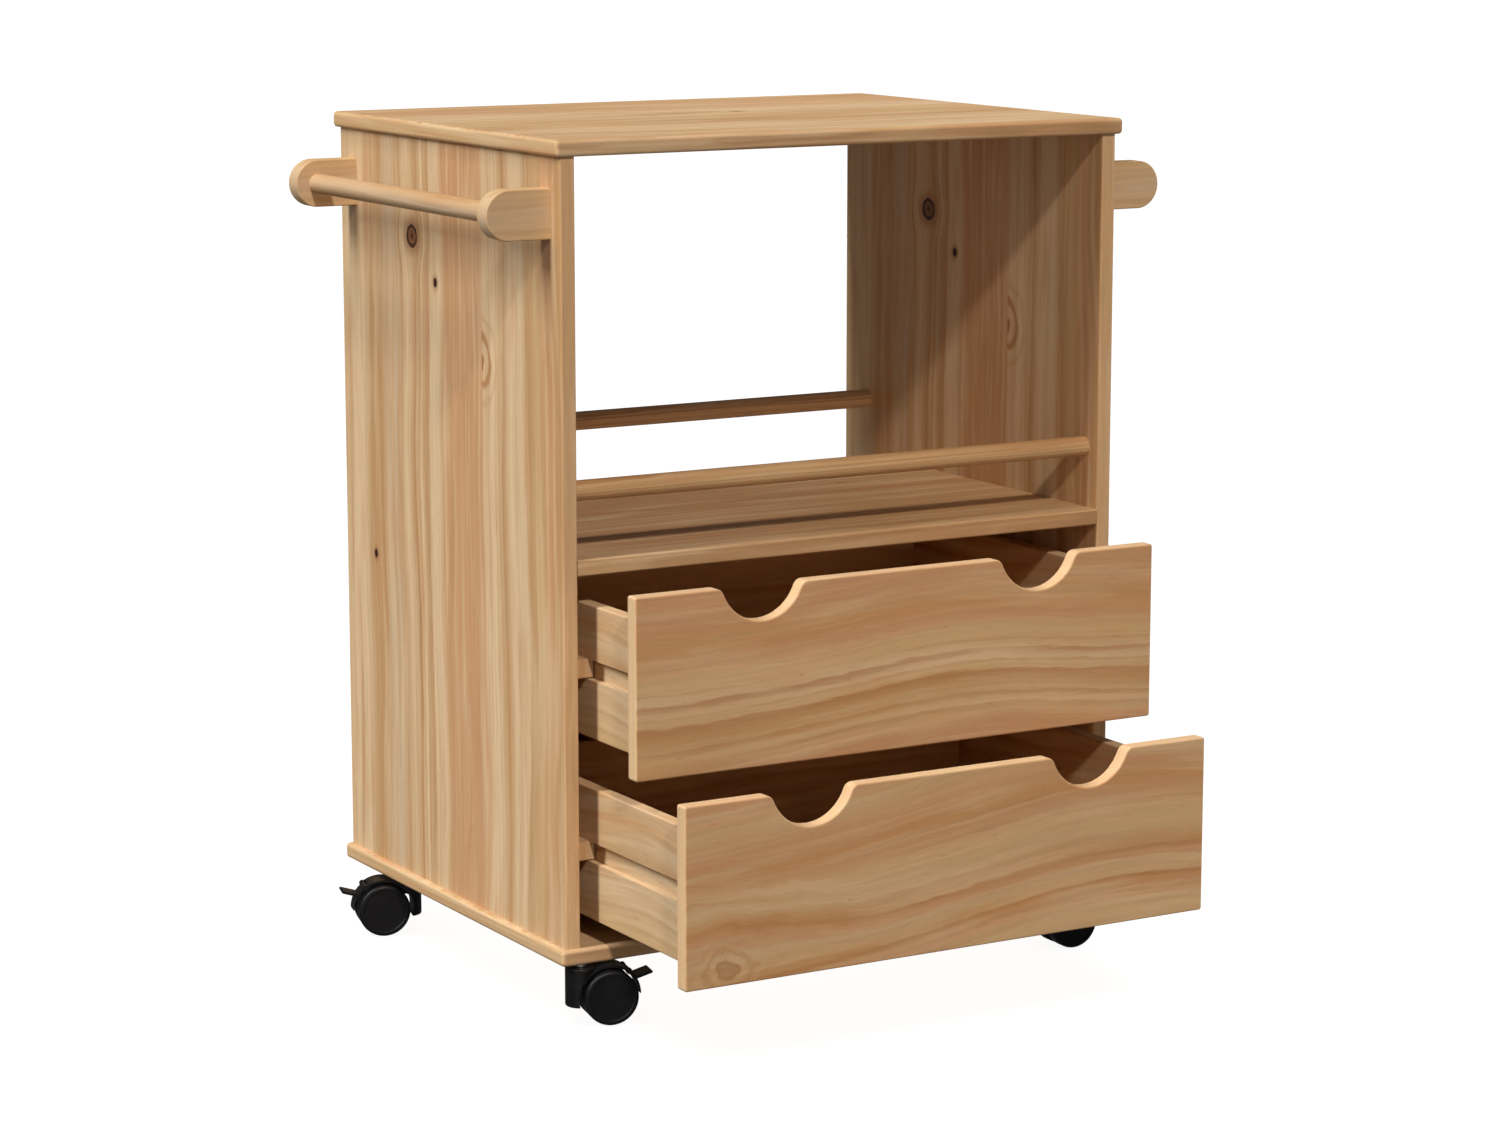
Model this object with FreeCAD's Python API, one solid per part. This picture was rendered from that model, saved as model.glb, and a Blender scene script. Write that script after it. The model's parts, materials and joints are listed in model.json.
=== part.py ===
import FreeCAD, Part
import math
import os

# Rolling pantry cart in solid pine: an open shelf over two pull-out drawers, a towel handle on each side and
# four twin-wheel swivel casters. Millimetres, +Z up, front is -Y. The origin is on the floor, below the
# middle of the cart's box, with the drawers standing open as they do at rest.

# ---- Driving dimensions -----------------------------------------------------------------------------------
TOP_WIDTH = 640.0
TOP_DEPTH = 500.0
TOTAL_HEIGHT = 850.0
BOARD = 16.0                      # thickness of every main board
CASTER_HEIGHT = 60.0              # floor to the underside of the base
SIDE_OVERHANG = 6.0               # worktop and base stand out past the side boards
FRONT_OVERHANG = 5.0
BOARD_ROUND = 4.0                 # rounded edges of worktop and base
SIDE_ROUND = 2.0                  # rounded front and back edges of the side boards
SHELF_ROUND = 2.0

SHELF_DEPTH = 428.0
BACK_THICKNESS = 5.0
BACK_GROOVE = 5.0
BACK_INSET = 6.0                  # the back board stands this far in front of the shelf's back edge

RAIL_DIAMETER = 20.0
RAIL_SOCKET = 8.0
RAIL_HEIGHT = 62.0                # rail centre above the shelf
FRONT_RAIL_INSET = 25.0
BACK_RAIL_INSET = 45.0

FRONT_HEIGHT = 175.0
DRAWER_GAP = 4.0                  # between a drawer front and what is above or below it
DRAWER_SIDE_GAP = 5.0
UPPER_OPEN = 104.0                # how far each drawer stands open at rest
LOWER_OPEN = 197.0
FRONT_ROUND = 2.0
SCOOP_OFFSET = 156.5              # scoop centres from the middle of the front
SCOOP_RADIUS = 45.0
SCOOP_DEPTH = 34.0
SCOOP_SHOULDER = 9.0
FRONT_CORNER = 2.5
BOX_HALF_WIDTH = 278.0
BOX_BOARD = 14.0
BOX_LENGTH = 395.0
BOX_BOTTOM_RISE = 18.0            # box underside above the front's lower edge
BOX_HEIGHT = 130.0
BOX_ROUND = 1.5
BOTTOM_THICKNESS = 5.0
BOTTOM_RISE = 6.0                 # bottom board above the box underside
BOTTOM_GROOVE = 5.0

GROOVE_RISE = 75.0                # runner groove above the front's lower edge
GROOVE_HEIGHT = 20.0
GROOVE_DEPTH = 7.5
RUNNER_WIDTH = 26.0
RUNNER_HEIGHT = 18.2
RUNNER_CLEARANCE = 0.3            # above the runner; the rest of the groove's play is below it
RUNNER_INSET = 20.0               # runner's front end behind the side board's front edge
RUNNER_ROUND = 4.0

BAR_DIAMETER = 20.0
BAR_SOCKET = 10.0
BRACKET_HEIGHT = 48.0
BRACKET_THICKNESS = 20.0
BRACKET_REACH = 67.0              # from the side board to the bracket's round end
BRACKET_MID = 216.0               # bracket centres in front of and behind the cabinet's middle
BRACKET_TOP_DROP = 54.0           # bar centre below the worktop's underside
BRACKET_ROUND = 1.5

DOWEL_RADIUS = 4.0
SMALL_DOWEL_RADIUS = 3.0
TOP_DOWEL_SHIFTS = (-190.0, 0.0, 190.0)      # along the side board, from the cabinet's middle
TOP_DOWEL_UP = 9.0
TOP_DOWEL_DOWN = 21.0
SHELF_DOWEL_SHIFTS = (-160.0, 0.0, 160.0)    # from the shelf's middle
SHELF_DOWEL_OUT = 9.0
SHELF_DOWEL_IN = 21.0
BRACKET_DOWEL_RISES = (-12.0, 12.0)          # from the bar's centre
BRACKET_DOWEL_IN = 10.0
BRACKET_DOWEL_OUT = 18.0
FRONT_DOWEL_RISES = (35.0, 105.0)            # above the drawer box's underside
FRONT_DOWEL_IN = 9.0                         # into the drawer front
FRONT_DOWEL_LENGTH = 29.0
BACK_DOWEL_RISES = (32.0, 105.0)
BACK_DOWEL_COVER = 4.0                       # wood left outside the dowel in a drawer side
BACK_DOWEL_LENGTH = 30.0

SCREW_RADIUS = 2.0
SCREW_HEAD_RADIUS = 4.0
SCREW_HEAD_HEIGHT = 2.5
DRIVE_RADIUS = 1.6                # recess for the driver: a cone cut in the head
DRIVE_TIP_RADIUS = 0.6
DRIVE_DEPTH = 1.2
BASE_SCREW_SHIFTS = (-170.0, 0.0, 190.0)     # along the side board, from the cabinet's middle
BASE_SCREW_DEPTH = 34.0                      # into the side board
RUNNER_SCREW_PLACES = (30.0, 190.0, 350.0)   # behind the runner's front end
RUNNER_SCREW_DEPTH = 11.0

CASTER_X = 296.0
FRONT_CASTER_INSET = 10.0         # front stems behind the base's front edge
BACK_CASTER_INSET = 100.0
INSERT_RADIUS = 5.5               # steel bush in the base that takes the stem
INSERT_DEPTH = 12.0
WHEEL_RADIUS = 27.0
WHEEL_TRAIL = 26.5                # axle behind the swivel axis
WHEEL_INNER = 5.5                 # inner and outer face of a wheel from the caster's middle plane
WHEEL_OUTER = 20.0
WHEEL_EDGE = 3.0                  # round of the tread's outer edge
WHEEL_INNER_BEVEL = 1.0
WHEEL_RIM = 1.5                   # flat rim round the dish in a wheel's outer face
DISH_SLOPE = 0.7
DISH_DEPTH = 0.6
AXLE_RADIUS = 3.0
AXLE_HALF = 17.0
AXLE_END_PLAY = 0.3
WHEEL_PLAY = 0.05
HOOD_INNER = 29.0                 # the hood is a ring about the axle; angles go round from the trailing side
HOOD_OUTER = 31.6
HOOD_HALF_WIDTH = 13.0
HOOD_FRONT_ANGLE = 150.0
HOOD_REAR_ANGLE = 0.0
BRAKED_HOOD_END = 60.0
WEB_RADIUS = 26.0                 # plate between the two wheels
WEB_HALF_WIDTH = 5.0
WEB_FOOT = 10.0                   # its straight lower edge, below the axle
BRIDGE_INNER = 22.0               # block that joins the web to the hood
BRIDGE_OUTER = 30.6
BRIDGE_ANGLES = (95.0, 150.0)
HOUSING_RADIUS = 15.0
HOUSING_BOTTOM = 18.0
HOUSING_TOP = 57.0
HOUSING_ROUND = 2.0
STEM_RADIUS = 4.0
STEM_BOTTOM = 40.0
STEM_PLAY = 0.05
STEM_END_PLAY = 1.0
COLLAR_RADIUS = 7.0
COLLAR_HEIGHT = 2.5

PIVOT_ANGLE = 52.0                # brake pivot
PIVOT_REACH = 30.5
PIVOT_RADIUS = 1.5
PIVOT_PLAY = 0.05
EAR_RADIUS = 3.0                  # ears at the hood's end that hold the pivot
EAR_OUTER = 13.0
EAR_INNER = 9.8
EAR_ROOT_ANGLES = (62.0, 68.0)
KNUCKLE_RADIUS = 2.5
LEVER_HALF_WIDTH = 9.5
BLADE_INNER = 29.3                # the brake lever's curved blade, which thins towards its tip
BLADE_MIDDLE = 29.7
BLADE_TIP = 30.8
BLADE_OUTER = 31.6
TAB_ROOT = (23.5, 15.0)           # brake tab: inner and outer end, outward from the axle and up
TAB_TIP = (42.0, 20.5)
TAB_THICKNESS = 3.0
# Name, side (-1 left, 1 right), end (-1 front, 1 back), direction in which the wheels trail, brake lever.
CASTERS = [
    ("front_left", -1, -1, -12.0, True),
    ("front_right", 1, -1, 178.0, False),
    ("back_left", -1, 1, 165.0, True),
    ("back_right", 1, 1, 20.0, False),
]

# ---- Derived places ---------------------------------------------------------------------------------------
PANEL_DEPTH = TOP_DEPTH - 2 * FRONT_OVERHANG
PANEL_OUTER = TOP_WIDTH / 2 - SIDE_OVERHANG
PANEL_INNER = PANEL_OUTER - BOARD
CABINET_Y = (PANEL_DEPTH / 2 + LOWER_OPEN - TOP_DEPTH / 2) / 2
PANEL_FRONT = CABINET_Y - PANEL_DEPTH / 2
PANEL_BACK = CABINET_Y + PANEL_DEPTH / 2
BASE_TOP = CASTER_HEIGHT + BOARD
TOP_UNDER = TOTAL_HEIGHT - BOARD
SHELF_UNDER = BASE_TOP + 2 * FRONT_HEIGHT + 3 * DRAWER_GAP
SHELF_TOP = SHELF_UNDER + BOARD
SHELF_BACK = PANEL_FRONT + SHELF_DEPTH
BACK_FRONT_FACE = SHELF_BACK - BACK_INSET - BACK_THICKNESS
LOWER_FRONT_Z = BASE_TOP + DRAWER_GAP
UPPER_FRONT_Z = LOWER_FRONT_Z + FRONT_HEIGHT + DRAWER_GAP
FRONT_HALF_WIDTH = PANEL_INNER - DRAWER_SIDE_GAP
BAR_X = PANEL_OUTER + BRACKET_REACH - BRACKET_HEIGHT / 2
BAR_Z = TOP_UNDER - BRACKET_TOP_DROP
RAIL_Z = SHELF_TOP + RAIL_HEIGHT
FRONT_RAIL_Y = PANEL_FRONT + FRONT_RAIL_INSET
BACK_RAIL_Y = PANEL_BACK - BACK_RAIL_INSET
RUNNER_TOP_RISE = GROOVE_RISE + GROOVE_HEIGHT - RUNNER_CLEARANCE
RUNNER_FRONT = PANEL_FRONT + RUNNER_INSET
AXLE_Z = WHEEL_RADIUS

V = FreeCAD.Vector
X_AXIS = V(1, 0, 0)
Y_AXIS = V(0, 1, 0)
Z_AXIS = V(0, 0, 1)
SMALL = 1e-6                      # lengths below this count as none


# ---- Small helpers ----------------------------------------------------------------------------------------
def block(x0, x1, y0, y1, z0, z1):
    """A box between two corners."""
    low = V(min(x0, x1), min(y0, y1), min(z0, z1))
    return Part.makeBox(abs(x1 - x0), abs(y1 - y0), abs(z1 - z0), low)


def rod(start, direction, radius, length):
    """A cylinder that starts at a point and runs along a direction."""
    return Part.makeCylinder(radius, length, start, direction)


def edges_along(shape, axis):
    """The straight edges that run along one axis."""
    found = []
    for edge in shape.Edges:
        if len(edge.Vertexes) == 2:
            run = edge.Vertexes[1].Point - edge.Vertexes[0].Point
            if run.Length > SMALL and run.cross(axis).Length < SMALL * run.Length:
                found.append(edge)
    return found


def rounded(shape, edges, radius):
    return shape.makeFillet(radius, edges)


def cut_all(shape, tools):
    return shape.cut(tools) if tools else shape


def group(solids):
    return Part.makeCompound(solids)


# ---- Places that several pieces share ---------------------------------------------------------------------
def top_dowel_places():
    """Centres of the dowels between the side boards and the worktop."""
    mid_x = PANEL_OUTER - BOARD / 2
    return [V(side * mid_x, CABINET_Y + shift, TOP_UNDER) for side in (-1, 1) for shift in TOP_DOWEL_SHIFTS]


def base_screw_places():
    """Centres of the screws between the base and the side boards."""
    mid_x = PANEL_OUTER - BOARD / 2
    return [V(side * mid_x, CABINET_Y + shift, BASE_TOP) for side in (-1, 1) for shift in BASE_SCREW_SHIFTS]


def shelf_dowel_places():
    """Side and depth of the dowels between the shelf and the side boards."""
    mid_y = (PANEL_FRONT + SHELF_BACK) / 2
    mid_z = SHELF_UNDER + BOARD / 2
    return [(side, V(side * PANEL_INNER, mid_y + shift, mid_z))
            for side in (-1, 1) for shift in SHELF_DOWEL_SHIFTS]


def bracket_dowel_places():
    """Side and place of the dowels that hold the handle brackets."""
    places = []
    for side in (-1, 1):
        for end in (-1, 1):
            for rise in BRACKET_DOWEL_RISES:
                places.append((side, V(side * PANEL_OUTER, CABINET_Y + end * BRACKET_MID, BAR_Z + rise)))
    return places


def runner_screw_places():
    """Side and place of the screws that hold the runners."""
    places = []
    for side in (-1, 1):
        for front_z in (LOWER_FRONT_Z, UPPER_FRONT_Z):
            mid_z = front_z + RUNNER_TOP_RISE - RUNNER_HEIGHT / 2
            for shift in RUNNER_SCREW_PLACES:
                places.append((side, V(side * PANEL_INNER, RUNNER_FRONT + shift, mid_z)))
    return places


def caster_place(side, end):
    inset = FRONT_CASTER_INSET if end < 0 else BACK_CASTER_INSET
    y = CABINET_Y + end * (TOP_DEPTH / 2 - inset)
    return V(side * CASTER_X, y, 0)


# ---- Fasteners --------------------------------------------------------------------------------------------
def screw_hole(head, direction, length):
    """The hole that a countersunk screw fills, with its head flush at a point."""
    cone = Part.makeCone(SCREW_HEAD_RADIUS, SCREW_RADIUS, SCREW_HEAD_HEIGHT, head, direction)
    return cone.fuse(rod(head, direction, SCREW_RADIUS, length)).removeSplitter()


def wood_screw(head, direction, length):
    """A countersunk screw that runs along a direction, with a recess for the driver."""
    drive = Part.makeCone(DRIVE_RADIUS, DRIVE_TIP_RADIUS, DRIVE_DEPTH, head, direction)
    return screw_hole(head, direction, length).cut(drive)


def top_dowel(place):
    return rod(place - Z_AXIS * TOP_DOWEL_DOWN, Z_AXIS, DOWEL_RADIUS, TOP_DOWEL_DOWN + TOP_DOWEL_UP)


def base_screw_start(place):
    return V(place.x, place.y, CASTER_HEIGHT)


def base_screw_length():
    return BOARD + BASE_SCREW_DEPTH


def shelf_dowel(side, place):
    start = place + X_AXIS * (side * SHELF_DOWEL_OUT)
    return rod(start, X_AXIS * -side, DOWEL_RADIUS, SHELF_DOWEL_OUT + SHELF_DOWEL_IN)


def bracket_dowel(side, place):
    start = place - X_AXIS * (side * BRACKET_DOWEL_IN)
    return rod(start, X_AXIS * side, SMALL_DOWEL_RADIUS, BRACKET_DOWEL_IN + BRACKET_DOWEL_OUT)


def runner_screw_start(side, place):
    return place - X_AXIS * (side * RUNNER_WIDTH)


def runner_screw_length():
    return RUNNER_WIDTH + RUNNER_SCREW_DEPTH


def insert_rod(place):
    return rod(V(place.x, place.y, CASTER_HEIGHT), Z_AXIS, INSERT_RADIUS, INSERT_DEPTH)


# ---- Cabinet ----------------------------------------------------------------------------------------------
def rounded_slab(z0):
    half_x = TOP_WIDTH / 2
    half_y = TOP_DEPTH / 2
    slab = block(-half_x, half_x, CABINET_Y - half_y, CABINET_Y + half_y, z0, z0 + BOARD)
    return rounded(slab, slab.Edges, BOARD_ROUND)


def top_panel():
    return cut_all(rounded_slab(TOP_UNDER), [top_dowel(place) for place in top_dowel_places()])


def base_panel():
    holes = [screw_hole(base_screw_start(p), Z_AXIS, base_screw_length()) for p in base_screw_places()]
    holes += [insert_rod(caster_place(side, end)) for _, side, end, _, _ in CASTERS]
    return cut_all(rounded_slab(CASTER_HEIGHT), holes)


def side_panel(side):
    board = block(side * PANEL_INNER, side * PANEL_OUTER, PANEL_FRONT, PANEL_BACK, BASE_TOP, TOP_UNDER)
    board = rounded(board, edges_along(board, Z_AXIS), SIDE_ROUND)
    holes = [top_dowel(p) for p in top_dowel_places() if p.x * side > 0]
    holes += [screw_hole(base_screw_start(p), Z_AXIS, base_screw_length()) for p in base_screw_places()
              if p.x * side > 0]
    holes += [shelf_dowel(s, p) for s, p in shelf_dowel_places() if s == side]
    holes += [bracket_dowel(s, p) for s, p in bracket_dowel_places() if s == side]
    holes += [rod(runner_screw_start(s, p), X_AXIS * s, SCREW_RADIUS, runner_screw_length())
              for s, p in runner_screw_places() if s == side]
    holes += [rail(y) for y in (FRONT_RAIL_Y, BACK_RAIL_Y)]
    holes.append(back_panel())
    return cut_all(board, holes)


def shelf():
    board = block(-PANEL_INNER, PANEL_INNER, PANEL_FRONT, SHELF_BACK, SHELF_UNDER, SHELF_TOP)
    board = rounded(board, edges_along(board, X_AXIS), SHELF_ROUND)
    return cut_all(board, [shelf_dowel(s, p) for s, p in shelf_dowel_places()])


def back_panel():
    half = PANEL_INNER + BACK_GROOVE
    return block(-half, half, BACK_FRONT_FACE, BACK_FRONT_FACE + BACK_THICKNESS, BASE_TOP, SHELF_UNDER)


def rail(y):
    half = PANEL_INNER + RAIL_SOCKET
    return rod(V(-half, y, RAIL_Z), X_AXIS, RAIL_DIAMETER / 2, 2 * half)


# ---- Side handles -----------------------------------------------------------------------------------------
def bracket_outline(side, y):
    """The bracket's side view: straight from the board, with a half-round end."""
    radius = BRACKET_HEIGHT / 2
    wall = side * PANEL_OUTER
    tip = side * (BAR_X + radius)
    corners = [V(wall, y, BAR_Z - radius), V(side * BAR_X, y, BAR_Z - radius)]
    ends = [V(side * BAR_X, y, BAR_Z + radius), V(wall, y, BAR_Z + radius)]
    edges = [Part.LineSegment(corners[0], corners[1]).toShape()]
    edges.append(Part.Arc(corners[1], V(tip, y, BAR_Z), ends[0]).toShape())
    edges.append(Part.LineSegment(ends[0], ends[1]).toShape())
    edges.append(Part.LineSegment(ends[1], corners[0]).toShape())
    return Part.Face(Part.Wire(edges))


def bracket(side, end):
    y = CABINET_Y + end * BRACKET_MID - BRACKET_THICKNESS / 2
    body = bracket_outline(side, y).extrude(Y_AXIS * BRACKET_THICKNESS)
    wall = side * PANEL_OUTER
    rims = [edge for edge in body.Edges
            if any(abs(vertex.X - wall) > 1 for vertex in edge.Vertexes) and not is_along_y(edge)]
    body = rounded(body, rims, BRACKET_ROUND)
    holes = [bracket_dowel(s, p) for s, p in bracket_dowel_places()
             if s == side and (p.y - CABINET_Y) * end > 0]
    holes.append(handle_bar(side))
    return cut_all(body, holes)


def is_along_y(edge):
    run = edge.Vertexes[-1].Point - edge.Vertexes[0].Point
    return run.cross(Y_AXIS).Length < SMALL and run.Length > SMALL


def handle_bar(side):
    half = BRACKET_MID - BRACKET_THICKNESS / 2 + BAR_SOCKET
    start = V(side * BAR_X, CABINET_Y - half, BAR_Z)
    return rod(start, Y_AXIS, BAR_DIAMETER / 2, 2 * half)


# ---- Drawers and runners ----------------------------------------------------------------------------------
def runner(side, front_z):
    top = front_z + RUNNER_TOP_RISE
    inner = side * (PANEL_INNER - RUNNER_WIDTH)
    body = block(side * PANEL_INNER, inner, RUNNER_FRONT, BACK_FRONT_FACE, top - RUNNER_HEIGHT, top)
    nose = [edge for edge in edges_along(body, Y_AXIS)
            if abs(edge.Vertexes[0].X - inner) < 1 and abs(edge.Vertexes[0].Z - top) < 1]
    body = rounded(body, nose, RUNNER_ROUND)
    holes = [screw_hole(runner_screw_start(s, p), X_AXIS * s, runner_screw_length())
             for s, p in runner_screw_places() if s == side]
    return cut_all(body, holes)


def scoop_edges(y, centre, z_top):
    """One finger scoop, from left to right: a small round shoulder, the hollow arc, the other shoulder."""
    big = SCOOP_RADIUS
    small = SCOOP_SHOULDER
    drop = big - SCOOP_DEPTH                       # the arc's centre stands this far above the front's edge
    hub_z = z_top + drop
    reach = math.sqrt((big + small) ** 2 - (drop + small) ** 2)
    edges = []
    touch = {}
    for side in (-1, 1):
        shoulder = V(centre + side * reach, y, z_top - small)
        hub = V(centre, y, hub_z)
        toward = (shoulder - hub).normalize()
        touch[side] = (V(shoulder.x, y, z_top), hub + toward * big, shoulder)
    for side in (-1, 1):
        flat, hollow, shoulder = touch[side]
        middle = ((flat - shoulder) + (hollow - shoulder)).normalize() * small + shoulder
        ends = (flat, middle, hollow) if side < 0 else (hollow, middle, flat)
        edges.append(Part.Arc(*ends).toShape())
        if side < 0:
            bottom = V(centre, y, z_top - SCOOP_DEPTH)
            edges.append(Part.Arc(hollow, bottom, touch[1][1]).toShape())
    return edges, touch[-1][0], touch[1][0]


def front_outline(y, z0):
    """A drawer front's outline, with small round corners and two scoops in its upper edge."""
    half = FRONT_HALF_WIDTH
    z1 = z0 + FRONT_HEIGHT
    c = FRONT_CORNER
    k = c * (1 - math.sqrt(0.5))
    edges = []
    here = V(-half + c, y, z1)
    for centre in (-SCOOP_OFFSET, SCOOP_OFFSET):
        arcs, start, finish = scoop_edges(y, centre, z1)
        edges.append(Part.LineSegment(here, start).toShape())
        edges += arcs
        here = finish
    edges.append(Part.LineSegment(here, V(half - c, y, z1)).toShape())
    edges.append(Part.Arc(V(half - c, y, z1), V(half - k, y, z1 - k), V(half, y, z1 - c)).toShape())
    edges.append(Part.LineSegment(V(half, y, z1 - c), V(half, y, z0 + c)).toShape())
    edges.append(Part.Arc(V(half, y, z0 + c), V(half - k, y, z0 + k), V(half - c, y, z0)).toShape())
    edges.append(Part.LineSegment(V(half - c, y, z0), V(-half + c, y, z0)).toShape())
    edges.append(Part.Arc(V(-half + c, y, z0), V(-half + k, y, z0 + k), V(-half, y, z0 + c)).toShape())
    edges.append(Part.LineSegment(V(-half, y, z0 + c), V(-half, y, z1 - c)).toShape())
    edges.append(Part.Arc(V(-half, y, z1 - c), V(-half + k, y, z1 - k), V(-half + c, y, z1)).toShape())
    return Part.Face(Part.Wire(edges))


def drawer_dowels(front_y, front_z):
    """Dowels between the front and the sides, and between the sides and the back."""
    mid_x = BOX_HALF_WIDTH - BOX_BOARD / 2
    face = front_y + BOARD
    box_z = front_z + BOX_BOTTOM_RISE
    back_mid = face + BOX_LENGTH - BOX_BOARD / 2
    dowels = []
    for side in (-1, 1):
        for rise in FRONT_DOWEL_RISES:
            start = V(side * mid_x, face - FRONT_DOWEL_IN, box_z + rise)
            dowels.append(rod(start, Y_AXIS, SMALL_DOWEL_RADIUS, FRONT_DOWEL_LENGTH))
        for rise in BACK_DOWEL_RISES:
            start = V(side * (BOX_HALF_WIDTH - BACK_DOWEL_COVER), back_mid, box_z + rise)
            dowels.append(rod(start, X_AXIS * -side, SMALL_DOWEL_RADIUS, BACK_DOWEL_LENGTH))
    return dowels


def drawer_front(front_y, front_z):
    board = front_outline(front_y, front_z).extrude(Y_AXIS * BOARD)
    rims = [edge for edge in board.Edges if not is_along_y(edge)]
    board = rounded(board, rims, FRONT_ROUND)
    return cut_all(board, drawer_dowels(front_y, front_z) + [drawer_bottom(front_y, front_z)])


def drawer_side(side, front_y, front_z):
    z0 = front_z + BOX_BOTTOM_RISE
    y0 = front_y + BOARD
    outer = side * BOX_HALF_WIDTH
    board = block(outer, outer - side * BOX_BOARD, y0, y0 + BOX_LENGTH, z0, z0 + BOX_HEIGHT)
    board = rounded(board, edges_along(board, Y_AXIS), BOX_ROUND)
    groove_z = front_z + GROOVE_RISE
    groove = block(outer + side, outer - side * GROOVE_DEPTH, y0 - 1, y0 + BOX_LENGTH + 1,
                   groove_z, groove_z + GROOVE_HEIGHT)
    return cut_all(board, drawer_dowels(front_y, front_z) + [groove, drawer_bottom(front_y, front_z)])


def drawer_back(front_y, front_z):
    half = BOX_HALF_WIDTH - BOX_BOARD
    z0 = front_z + BOX_BOTTOM_RISE
    y1 = front_y + BOARD + BOX_LENGTH
    board = block(-half, half, y1 - BOX_BOARD, y1, z0 + BOTTOM_RISE + BOTTOM_THICKNESS, z0 + BOX_HEIGHT)
    crown = [edge for edge in edges_along(board, X_AXIS) if abs(edge.Vertexes[0].Z - z0 - BOX_HEIGHT) < 1]
    board = rounded(board, crown, BOX_ROUND)
    return cut_all(board, drawer_dowels(front_y, front_z))


def drawer_bottom(front_y, front_z):
    half = BOX_HALF_WIDTH - BOX_BOARD + BOTTOM_GROOVE
    z0 = front_z + BOX_BOTTOM_RISE + BOTTOM_RISE
    y0 = front_y + BOARD
    return block(-half, half, y0 - BOTTOM_GROOVE, y0 + BOX_LENGTH, z0, z0 + BOTTOM_THICKNESS)


def drawer_nodes(name, front_y, front_z):
    return {
        "drawer_%s_front" % name: drawer_front(front_y, front_z),
        "drawer_%s_side_left" % name: drawer_side(-1, front_y, front_z),
        "drawer_%s_side_right" % name: drawer_side(1, front_y, front_z),
        "drawer_%s_back" % name: drawer_back(front_y, front_z),
        "drawer_%s_bottom" % name: drawer_bottom(front_y, front_z),
        "drawer_%s_dowels" % name: group(drawer_dowels(front_y, front_z)),
    }


# ---- Casters, each drawn about its swivel axis with the wheels trailing along +X ---------------------------
def around_axle(angle, reach):
    """A point on the caster's middle plane, round the axle from the trailing side."""
    turn = math.radians(angle)
    return V(WHEEL_TRAIL + reach * math.cos(turn), 0, AXLE_Z + reach * math.sin(turn))


def ring_sector(inner, outer, half_width, start, stop):
    """Part of a ring about the axle, between two angles."""
    outside = [around_axle(angle, outer) for angle in (start, (start + stop) / 2, stop)]
    inside = [around_axle(angle, inner) for angle in (stop, (start + stop) / 2, start)]
    edges = [Part.Arc(*outside).toShape()]
    edges.append(Part.LineSegment(outside[-1], inside[0]).toShape())
    edges.append(Part.Arc(*inside).toShape())
    edges.append(Part.LineSegment(inside[-1], outside[0]).toShape())
    face = Part.Face(Part.Wire(edges))
    face.translate(Y_AXIS * -half_width)
    return face.extrude(Y_AXIS * (2 * half_width))


def across(point, radius, half_width):
    """A rod across the caster, centred on its middle plane."""
    return rod(V(point.x, -half_width, point.z), Y_AXIS, radius, 2 * half_width)


def caster_body(braked):
    axle = V(WHEEL_TRAIL, 0, AXLE_Z)
    housing = rod(V(0, 0, HOUSING_BOTTOM), Z_AXIS, HOUSING_RADIUS, HOUSING_TOP - HOUSING_BOTTOM)
    housing = rounded(housing, [edge for edge in housing.Edges if len(edge.Vertexes) == 1], HOUSING_ROUND)
    housing = housing.cut(across(axle, HOOD_OUTER, 2 * HOUSING_RADIUS))
    hood_end = BRAKED_HOOD_END if braked else HOOD_REAR_ANGLE
    pieces = [ring_sector(HOOD_INNER, HOOD_OUTER, HOOD_HALF_WIDTH, hood_end, HOOD_FRONT_ANGLE)]
    foot = block(-HOUSING_RADIUS, WHEEL_TRAIL + HOOD_OUTER, -WHEEL_OUTER, WHEEL_OUTER, -1, AXLE_Z - WEB_FOOT)
    pieces.append(across(axle, WEB_RADIUS, WEB_HALF_WIDTH).cut(foot))
    pieces.append(ring_sector(BRIDGE_INNER, BRIDGE_OUTER, WEB_HALF_WIDTH, *BRIDGE_ANGLES))
    if braked:
        pieces += brake_ears()
    body = housing.multiFuse(pieces).removeSplitter()
    holes = [rod(V(0, 0, STEM_BOTTOM - STEM_END_PLAY), Z_AXIS, STEM_RADIUS + STEM_PLAY, HOUSING_TOP)]
    holes.append(across(axle, AXLE_RADIUS, AXLE_HALF))
    return cut_all(body, holes)


def brake_ears():
    """Two ears at the hood's end that hold the brake lever's pivot."""
    pivot = around_axle(PIVOT_ANGLE, PIVOT_REACH)
    ears = []
    for side in (-1, 1):
        y0 = min(side * EAR_INNER, side * EAR_OUTER)
        width = EAR_OUTER - EAR_INNER
        ear = rod(V(pivot.x, y0, pivot.z), Y_AXIS, EAR_RADIUS, width)
        arm = ring_sector(HOOD_INNER, HOOD_OUTER, width / 2, PIVOT_ANGLE, EAR_ROOT_ANGLES[1])
        arm.translate(Y_AXIS * (y0 + width / 2))
        root = ring_sector(HOOD_INNER, HOOD_OUTER, EAR_OUTER, *EAR_ROOT_ANGLES)
        hole = rod(V(pivot.x, y0 - 1, pivot.z), Y_AXIS, PIVOT_RADIUS + PIVOT_PLAY, width + 2)
        ears.append(ear.fuse(arm).fuse(root).cut(hole))
    return ears


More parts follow.
